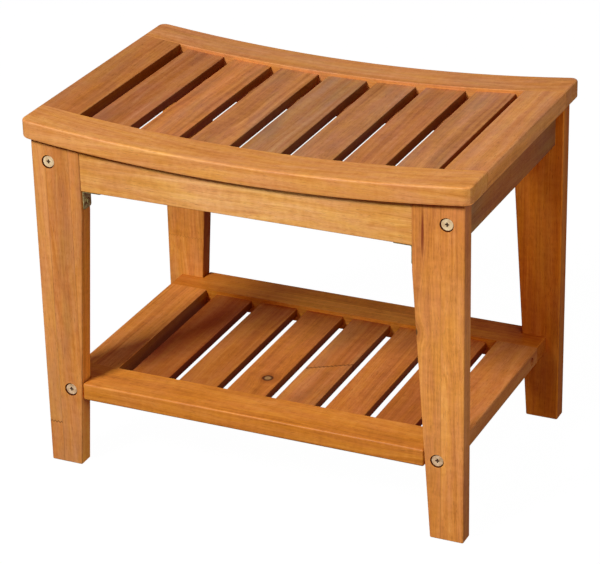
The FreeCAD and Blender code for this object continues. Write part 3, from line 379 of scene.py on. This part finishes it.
def make_wood_group():
    """The figure of a board: staves, growth rings, fibres, vessels, gum, a knot and end grain."""
    graph, given, end = new_group("wood_figure", WOOD_INPUTS, WOOD_OUTPUTS)
    seed = given["Seed"]
    along, across, _ = graph.split(given["Place"])
    own_tone, own_place, past_joint, lines = add_staves(graph, given, along, across)
    shift = graph.vector("MULTIPLY", own_place, STAVE_SHIFT)
    place = graph.vector("ADD", given["Place"], shift)
    bent, pull, ratio = bend_fibres(graph, given, along, across, place)

    # Figure along the grain, from broad bands down to single fibres.
    rings = add_rings(graph, given, along, bent, pull)
    bands = graph.noise(bent, BAND_SIZE, seed, 2.0)
    streaks = graph.noise(bent, STREAK_SIZE, seed, 3.0, 0.6)
    fibres = graph.noise(bent, FIBRE_SIZE, seed, 2.0, 0.6)
    ripple = graph.noise(bent, RIPPLE_SIZE, seed, 2.0, 0.6)
    clouds = graph.noise(bent, CLOUD_SIZE, seed, 3.0, 0.55)
    vessels = graph.fit(graph.noise(bent, VESSEL_SIZE, seed, 1.0), 0.58, 0.72)
    end_grain = graph.fit(graph.math("ABSOLUTE", graph.split(given["Facing"])[0]), 0.72, 0.92)
    side_grain = graph.math("SUBTRACT", 1.0, end_grain)

    tone = graph.total(
        (rings, RINGS_IN_TONE),
        (bands, BANDS_IN_TONE),
        (streaks, STREAKS_IN_TONE),
        (fibres, FIBRES_IN_TONE),
        (ripple, RIPPLE_IN_TONE),
        (own_tone, STAVE_IN_TONE),
    )
    tone = graph.math("ADD", tone, graph.math("MULTIPLY", past_joint, given["Step"]))
    colour = graph.ramp(tone, ((0.16, HEART), (0.5, MIDDLE), (0.86, SAP)))
    murk = graph.math("MULTIPLY", graph.fit(clouds, 0.40, 0.72), given["Cloud"])
    colour = graph.tint(murk, colour, CLOUD_BROWN)
    colour = graph.tint(graph.math("MULTIPLY", vessels, VESSELS_IN_COLOUR), colour, VESSEL_BROWN)
    hue = graph.fit(graph.noise(bent, HUE_SIZE, seed, 3.0, 0.65), 0.30, 0.70)
    colour = graph.vector("MULTIPLY", colour, graph.tint(hue, GOLDEN, ROSY))
    colour = add_gum(graph, given, along, across, fibres, colour)
    colour = add_knot(graph, ratio, fibres, colour)
    colour = graph.tint(lines, colour, GLUE_BROWN)
    colour = add_bore_shade(graph, given, colour)
    colour, arris = shade_faces(graph, given, along, end_grain, colour)

    satin = graph.total(
        (fibres, FIBRES_IN_SATIN), (clouds, CLOUDS_IN_SATIN), (arris, ARRIS_IN_SATIN)
    )
    satin = graph.math("ADD", satin, graph.math("MULTIPLY", vessels, VESSELS_IN_SATIN))
    satin = graph.math("ADD", satin, graph.math("MULTIPLY", end_grain, END_GRAIN_IN_SATIN))
    satin = graph.math("SUBTRACT", satin, POLISH, clamp=True)
    relief = graph.math("MULTIPLY", graph.math("SUBTRACT", fibres, 0.5), FIBRE_HEIGHT)
    pits = graph.math("MULTIPLY", vessels, graph.math("MULTIPLY", side_grain, -VESSEL_DEPTH))
    waves = graph.math("MULTIPLY", graph.math("SUBTRACT", ripple, 0.5), RIPPLE_HEIGHT)
    height = graph.math("ADD", graph.math("ADD", relief, pits), waves)
    height = graph.math("SUBTRACT", height, graph.math("MULTIPLY", lines, LINE_DEPTH))
    graph.put(end.inputs["Color"], colour)
    graph.put(end.inputs["Roughness"], satin)
    graph.put(end.inputs["Height"], height)
    return graph.tree


def new_material(name):
    """An empty material. Returns it and its graph."""
    material = bpy.data.materials.new(name)
    material.use_nodes = True
    material.node_tree.nodes.clear()
    return material, Graph(material.node_tree)


def finish_material(graph, shader_inputs):
    shader = graph.add("BsdfPrincipled", shader_inputs)
    graph.add("OutputMaterial", {"Surface": shader})


def grain_order(name):
    """Object axes in the order along, across and through the board."""
    low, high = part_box(name)
    span = high - low
    if name.startswith("leg_"):
        along = 2
    elif name.endswith("_rail") or name in ("front_apron", "back_apron"):
        along = 0
    else:
        along = 1
    rest = sorted({0, 1, 2} - {along}, key=lambda axis: -span[axis])
    return (along, *rest)


def board_place(graph, name):
    """Place and facing of the shaded point, in the board's own axes and millimetres."""
    low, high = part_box(name)
    order = grain_order(name)
    point = graph.add("TexCoord", output="Object")
    point = graph.vector("SUBTRACT", point, tuple((low + high) / 2))
    point = graph.split(graph.vector("MULTIPLY", point, (MM_PER_METRE,) * 3))
    facing = graph.split(graph.add("NewGeometry", output="Normal"))
    return graph.join(*(point[i] for i in order)), graph.join(*(facing[i] for i in order))


NOWHERE = 5000.0  # millimetres, well off any board
WOOD_LOOK = {
    "strip": 1000.0,  # width of a stave, here wider than any board
    "shift": 0.5,  # staves between the edge of the first one and the board's middle
    "finger": NOWHERE,  # place of the finger joint along the board
    "slope": 0.0,  # how far the joint runs along the board for each millimetre across it
    "step": 0.0,  # how much paler the wood is past the joint
    "line": 0.85,  # half the width of the joint's dark line
    "knot": (NOWHERE, NOWHERE, 3.0),  # along, across, radius
    "gum": (NOWHERE, NOWHERE, 10.0),  # along, across, half its length
    "tone": 1.0,
    "cloud": 0.22,  # how much brown cloud
    "tint": (1.0, 1.0, 1.0),
    "ends": (1.0, 1.0, 1.0),  # tint towards both ends
    "side": (1.0, 1.0, 1.0),  # painted light or shade on the narrow faces, as a tint
    "foot": 0.0,  # how much painted floor light the narrow faces get near a leg's bottom
    "under": 0.0,  # how much painted light the lower arrises get where they lie in shade
    "half": 0.0,  # half of a leg's thickness
    "upper": (NOWHERE, NOWHERE, 0.0),  # axis of the upper counterbore
    "lower": (NOWHERE, NOWHERE, 0.0),  # axis of the lower counterbore
}
COLOUR_KEYS = ("tint", "ends", "side")
WOOD_IOR, WOOD_SPECULAR = 1.45, 0.18


def wood_material(name, group, look):
    material, graph = new_material(name + "_wood")
    place, facing = board_place(graph, name)
    figure = graph.tree.nodes.new("ShaderNodeGroup")
    figure.node_tree = group
    graph.put(figure.inputs["Place"], place)
    graph.put(figure.inputs["Facing"], facing)
    for key, value in look.items():
        value = (*value, 1.0) if key in COLOUR_KEYS else value
        graph.put(figure.inputs[key.capitalize()], value)
    height = figure.outputs["Height"]
    bump = graph.add("Bump", {"Height": height, "Distance": 1 / MM_PER_METRE})
    finish_material(
        graph,
        {
            "Base Color": figure.outputs["Color"],
            "Roughness": figure.outputs["Roughness"],
            "Normal": bump,
            "IOR": WOOD_IOR,
            "Specular IOR Level": WOOD_SPECULAR,
        },
    )
    return material


# Metal: yellow zinc plate, turned on the bolt heads and scratched on the rest.

ZINC_CREAM, ZINC_PALE = (0.98, 0.75, 0.46, 1.0), (0.74, 0.50, 0.27, 1.0)
ZINC_TAN, ZINC_BROWN = (0.90, 0.63, 0.40, 1.0), (0.56, 0.34, 0.17, 1.0)
ZINC_YELLOW, ZINC_OLIVE = (0.62, 0.50, 0.24, 1.0), (0.20, 0.15, 0.05, 1.0)
ZINC_MARK = (0.35, 0.28, 0.16, 1.0)
SOCKET_PAINTED_SHADE = (0.035, 0.020, 0.007, 1.0)
BOLT_COLOURS = {"upper": (ZINC_CREAM, ZINC_PALE), "lower": (ZINC_TAN, ZINC_BROWN)}
ZINC_METALLIC = 0.2
ZINC_CLOUD_SIZE, SCRATCH_SIZE = (5.0, 5.0, 5.0), (0.25, 6.0, 3.0)
TURNING_WIDTH = 0.35
SOCKET_DEPTH = (0.15, 0.6)  # below the head's face: still plain, full painted shade


def zinc_material(name, light, dark, head=None):
    """Zinc plate, clouded from light to dark. A bolt has the middle of its head's face, folded
    into the back right quarter. Turning marks run round it, and what lies below it gets painted shade.
    """
    material, graph = new_material(name + "_zinc")
    point = graph.add("TexCoord", output="Object")
    point = graph.vector("MULTIPLY", point, (MM_PER_METRE,) * 3)
    clouds = graph.noise(point, ZINC_CLOUD_SIZE, 3.0, 3.0, 0.6)
    scratches = graph.noise(point, SCRATCH_SIZE, 5.0, 2.0, 0.6)
    marks = scratches
    if head is not None:
        folded = graph.vector("ABSOLUTE", point)
        away = graph.vector("SUBTRACT", folded, tuple(head * MM_PER_METRE))
        radius = graph.vector("LENGTH", graph.vector("MULTIPLY", away, (1.0, 0.0, 1.0)), output=1)
        marks = graph.line_noise(graph.math("DIVIDE", radius, TURNING_WIDTH), 2.0, 0.7)
    colour = graph.tint(graph.fit(clouds, 0.35, 0.68), light, dark)
    colour = graph.tint(graph.fit(marks, 0.55, 0.8, 0.0, 0.25), colour, ZINC_MARK)
    if head is not None:
        # Painted shade in the socket and on the head's rim, below its face.
        depth = graph.math("SUBTRACT", head.y * MM_PER_METRE, graph.split(folded)[1])
        painted_socket_shade = graph.math("MULTIPLY", graph.fit(depth, *SOCKET_DEPTH), 0.92)
        colour = graph.tint(painted_socket_shade, colour, SOCKET_PAINTED_SHADE)
    rough = graph.total((clouds, 0.3), (marks, 0.3))
    rough = graph.math("SUBTRACT", rough, 0.16, clamp=True)
    height = graph.math("MULTIPLY", graph.math("ADD", marks, scratches), 0.012)
    bump = graph.add("Bump", {"Height": height, "Distance": 1 / MM_PER_METRE})
    finish_material(
        graph,
        {"Base Color": colour, "Roughness": rough, "Normal": bump, "Metallic": ZINC_METALLIC},
    )
    return material


def dress(name, material):
    """Gives a CAD node one material in every slot."""
    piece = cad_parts[name]
    if not piece.material_slots:
        piece.data.materials.append(material)
    for material_slot in piece.material_slots:
        material_slot.material = material


PAINTED_GAP_SHADE = (0.50, 0.58, 0.44)  # painted shade on the narrow faces that look into a gap
DOWEL_LOOK = {"tone": 1.15, "cloud": 0.05, "tint": (1.15, 1.45, 2.1)}
# What sets kinds of board, and then single boards, apart. Every side tint and some tints are painted
# light or shade.
# Lengths are millimetres from the board's centre.
FAMILY_LOOKS = {
    "seat_slat": {"cloud": 0.32, "tint": (0.87, 0.89, 1.10), "side": PAINTED_GAP_SHADE},
    "shelf_slat": {"cloud": 0.10, "tint": (0.80, 0.67, 0.50), "side": PAINTED_GAP_SHADE},
    "shelf": {"cloud": 0.10, "tint": (1.03, 0.94, 0.53)},
}
BOARD_LOOKS = {
    # Its lower arris gets painted light where it lies in shade.
    "seat_front_rail": {"cloud": 0.05, "tint": (1.03, 1.05, 0.92), "under": 1.1},
    "seat_left_end_board": {"tint": (0.81, 0.75, 0.66), "side": PAINTED_GAP_SHADE},
    # Its side tint is painted light on the outer end face.
    "seat_right_end_board": {"tint": (0.97, 0.98, 1.05), "side": (1.12, 1.10, 1.0)},
    "seat_slat_1": {"tint": (0.73, 0.64, 0.66)},
    "seat_slat_2": {"tint": (1.04, 0.99, 1.0)},
    "seat_slat_3": {"tint": (0.95, 1.0, 1.2)},
    "seat_slat_4": {"cloud": 0.45, "tint": (0.72, 0.78, 1.0)},
    "seat_slat_5": {"tint": (0.83, 0.90, 1.16)},
    "seat_slat_6": {"tint": (0.82, 0.80, 0.92)},
    "seat_slat_7": {"tint": (1.0, 1.12, 1.45)},
    # Dark tint: partly painted shade below the seat's overhang, partly its own grey-brown; the greyer
    # ends are its own.
    "side_apron_right": {"tint": (0.62, 0.56, 0.47), "ends": (0.68, 1.0, 1.65)},
    "front_apron": {"cloud": 0.05, "tint": (1.25, 1.54, 1.64), "ends": (0.89, 0.81, 0.68)},
    "leg_front_left": {
        "strip": 31.0,
        "shift": 1.45,
        "finger": -160.0,
        "step": 0.18,
        "line": 1.3,
        "cloud": 0.30,
        "tint": (0.98, 0.92, 0.79),
        # Painted light on the inner narrow face.
        "side": (1.40, 1.32, 0.95),
        # Painted floor light on its inner narrow face near the bottom.
        "foot": 1.0,
    },
    "leg_front_right": {
        "strip": 34.0,
        "shift": 0.9,
        "knot": (49.0, -31.0, 7.0),
        "gum": (172.0, -18.5, 26.0),
        "cloud": 0.08,
        # Pale tint: painted light, this leg being more brightly lit.
        "tint": (1.29, 1.37, 1.22),
        "ends": (0.91, 0.85, 0.84),
        # Painted shade on the narrow faces.
        "side": (0.80, 0.73, 0.84),
    },
    "leg_back_left": {
        "finger": -46.0,
        "step": 0.05,
        "line": 0.2,
        "tint": (1.05, 1.04, 0.76),
        # Painted shade on the inner narrow face, which stands in the seat's shadow.
        "side": (0.56, 0.50, 0.25),
    },
    # Deep orange tint and darker sides: painted shade, as the leg stands in the seat's shadow.
    "leg_back_right": {"tint": (1.02, 0.76, 0.33), "side": (0.75, 0.75, 0.75)},
    # Pale tint: painted light in the seat's shadow; darker towards both ends.
    "shelf_back_rail": {"tint": (1.38, 1.23, 0.66), "ends": (0.58, 0.50, 0.44)},
    "shelf_left_end_board": {
        "tint": (0.90, 0.80, 0.60),
        "ends": (1.25, 1.28, 1.20),
        "side": PAINTED_GAP_SHADE,
    },
    "shelf_right_end_board": {"tint": (0.82, 0.71, 0.58)},
    # Dark tint: partly darker wood, partly painted shade from the front left leg's shadow.
    "shelf_slat_1": {"tint": (0.54, 0.39, 0.27)},
    "shelf_slat_2": {"tint": (0.69, 0.57, 0.41)},
    "shelf_slat_3": {"knot": (-69.0, 8.4, 7.6), "tint": (0.88, 0.76, 0.55)},
    "shelf_slat_4": {
        "finger": -14.0,
        "slope": 0.6,
        "step": 0.10,
        "line": 2.4,
        "cloud": 0.4,
        "tint": (0.80, 0.67, 0.54),
    },
    "shelf_slat_5": {"tint": (0.88, 0.74, 0.55)},
    "shelf_slat_6": {"tint": (0.72, 0.57, 0.42)},
}


def counterbores(name):
    """Where a leg's two counterbores are, in the board's own axes and millimetres."""
    low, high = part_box(name)
    middle = (low + high) / 2
    found = {"half": (high - low).y / 2 * MM_PER_METRE}
    for row in ("upper", "lower"):
        head = bolt_centre(row + "_connector_bolts")
        across = math.copysign(head.x, middle.x) - middle.x
        place = Vector((head.z - middle.z, across, 0.0)) * MM_PER_METRE
        found[row] = tuple(place)
    return found


def dress_wood():
    """Every board gets its own figure. The dowels are turned from a paler wood."""
    group = make_wood_group()
    draw = random.Random(SEED)
    for name in sorted(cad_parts):
        if is_metal(name):
            continue
        side = draw.choice((-1, 1))
        look = dict(WOOD_LOOK)
        look["seed"] = draw.uniform(1.0, 40.0)
        look["pith"] = (0.0, draw.uniform(-22.0, 22.0), side * draw.uniform(14.0, 40.0))
        look["tilt"] = draw.uniform(-0.05, 0.05)
        look["tone"] = draw.uniform(0.96, 1.04)
        family = next((prefix for prefix in FAMILY_LOOKS if name.startswith(prefix)), None)
        look |= FAMILY_LOOKS.get(family, {})
        if name.startswith("leg_"):
            look |= counterbores(name)
        look |= DOWEL_LOOK if name.endswith("_dowels") else BOARD_LOOKS.get(name, {})
        dress(name, wood_material(name, group, look))


def bolt_centre(name):
    """Middle of the face of the right back bolt head of a row."""
    low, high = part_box(name)
    radius = (high.z - low.z) / 2
    return Vector((high.x - radius, high.y, (low.z + high.z) / 2))


def is_metal(name):
    return "bolt" in name or "nut" in name or "bracket" in name


def dress_metal():
    for name in filter(is_metal, sorted(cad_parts)):
        if name.endswith("_bolts"):
            colours = BOLT_COLOURS[name.partition("_")[0]]
            material = zinc_material(name, *colours, bolt_centre(name))
        else:
            material = zinc_material(name, ZINC_YELLOW, ZINC_OLIVE)
        dress(name, material)


# Studio. A strength of 1 makes a white surface that faces the lamp look white.

LAMPS = {
    # name: azimuth, elevation, distance, size, strength
    "key_lamp": (-24.0, 42.0, 6.0, 1.4, 1.08),
    "front_lamp": (45.0, 35.0, 4.0, 2.0, 0.20),
    "right_lamp": (82.0, 14.0, 0.95, 0.5, 0.16),
    "back_lamp": (155.0, 38.0, 4.0, 2.5, 0.09),
}
FILL_LIGHT = 0.11
FLOOR_RADIUS, FLOOR_SIDES = 12.0, 96
FLOOR_GLOW, FLOOR_PAINT, FLOOR_MOTTLE = 0.99, 0.02, 0.98
FLOOR_MOTTLE_SIZE = (0.4, 0.4, 0.4)
# Contrast of the picture: (light in, light out) between black and white.
CONTRAST = ((0.01, 0.007), (0.05, 0.045), (0.12, 0.117), (0.30, 0.303), (0.65, 0.665))
# The same for single channels, red, green and blue: shadows keep a deep, warm colour.
WARMTH = (
    ((0.06, 0.072), (0.12, 0.124), (0.30, 0.30), (0.65, 0.65)),
    ((0.018, 0.012), (0.03, 0.023), (0.045, 0.038), (0.08, 0.079), (0.15, 0.15), (0.50, 0.50)),
    ((0.004, 0.0013), (0.007, 0.0044), (0.013, 0.011), (0.03, 0.029), (0.06, 0.06), (0.30, 0.30)),
)


def make_lamps():
    for name, (azimuth, elevation, distance, size, strength) in LAMPS.items():
        data = bpy.data.lights.new(name, "AREA")
        data.size = size
        data.energy = strength * (math.pi * distance) ** 2
        lamp = add_object(name, data)
        back = direction(azimuth, elevation)
        lamp.location = CENTRE + back * distance
        lamp.rotation_euler = (-back).to_track_quat("-Z", "Y").to_euler()


def make_world():
    """White behind the stool, and a weaker even light on it."""
    world = bpy.data.worlds.new("studio")
    world.use_nodes = True
    world.node_tree.nodes.clear()
    graph = Graph(world.node_tree)
    seen = graph.add("LightPath", output="Is Camera Ray")
    strength = graph.fit(seen, 0.0, 1.0, FILL_LIGHT, 1.0, smooth=False)
    light = graph.add("Background", {"Color": grey(1.0), "Strength": strength})
    graph.add("OutputWorld", {"Surface": light})
    bpy.context.scene.world = world


def make_floor():
    """A pale floor that gives off most of its light itself, so it shows hardly any shadow."""
    mesh = bpy.data.meshes.new("floor")
    shape = bmesh.new()
    bmesh.ops.create_circle(shape, cap_ends=True, radius=FLOOR_RADIUS, segments=FLOOR_SIDES)
    shape.to_mesh(mesh)
    shape.free()
    floor = add_object("floor", mesh)
    floor.location.z = CAD_LOW.z
    floor.visible_diffuse = False
    floor.visible_glossy = False
    material, graph = new_material("pale_floor")
    mottle = graph.noise(graph.add("TexCoord", output="Object"), FLOOR_MOTTLE_SIZE, 1.0)
    paint = graph.fit(mottle, 0.3, 0.7, FLOOR_PAINT * FLOOR_MOTTLE, FLOOR_PAINT)
    colour = graph.join(paint, paint, paint)
    matt = graph.add("BsdfDiffuse", {"Color": colour})
    glow = graph.add("Emission", {"Color": grey(1.0), "Strength": FLOOR_GLOW})
    both = graph.add("AddShader", {0: matt, 1: glow})
    graph.add("OutputMaterial", {"Surface": both})
    floor.data.materials.append(material)


def set_view():
    """Plain colours with a photographic contrast curve."""
    view = bpy.context.scene.view_settings
    view.view_transform = "Standard"
    view.use_curve_mapping = True
    for curve, points in zip(view.curve_mapping.curves, (*WARMTH, CONTRAST)):
        for point in points:
            curve.points.new(*point)
    view.curve_mapping.update()


make_camera()
dress_wood()
dress_metal()
make_lamps()
make_world()
make_floor()
set_view()
